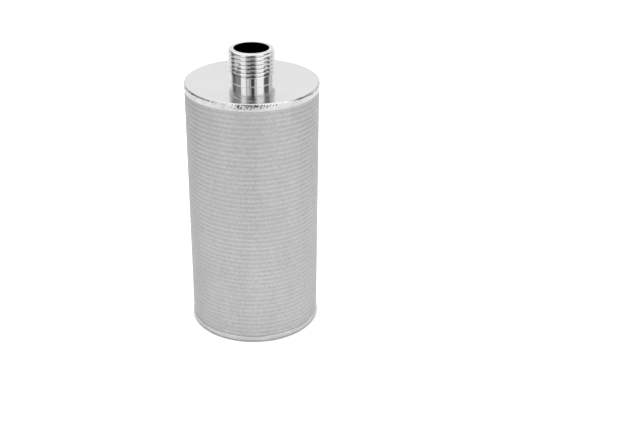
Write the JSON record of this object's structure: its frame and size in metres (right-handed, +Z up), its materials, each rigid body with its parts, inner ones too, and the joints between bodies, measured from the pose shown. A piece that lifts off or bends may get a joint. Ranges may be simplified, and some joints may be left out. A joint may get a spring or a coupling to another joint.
{
  "type": "sintered filter element",
  "caption": "Upright cylindrical filter element of sintered wire mesh, with a mesh disc foot, a plate cap and a threaded outlet nipple on top.",
  "frame": {"origin": "centre of the foot, on the surface that the element stands on", "axes": "+Z up along the tube towards the outlet, +Y towards the seam of the tube"},
  "size_m": [0.061, 0.061, 0.1352],
  "materials": {
    "sintered_mesh": "sintered stainless wire mesh, satin, ridged weave",
    "cap_plate": "stainless plate, fine satin",
    "turned_steel": "turned stainless steel, bright",
    "weld_bead": "bright rippled weld bead"
  },
  "bodies": {
    "root": {"mesh_tube": "sintered_mesh", "bottom_mesh_disc": "sintered_mesh", "end_cap": "cap_plate", "threaded_nipple": "turned_steel", "top_weld": "weld_bead", "bottom_weld": "weld_bead", "seam_weld": "weld_bead", "nipple_weld": "weld_bead"}
  },
  "joints": []
}
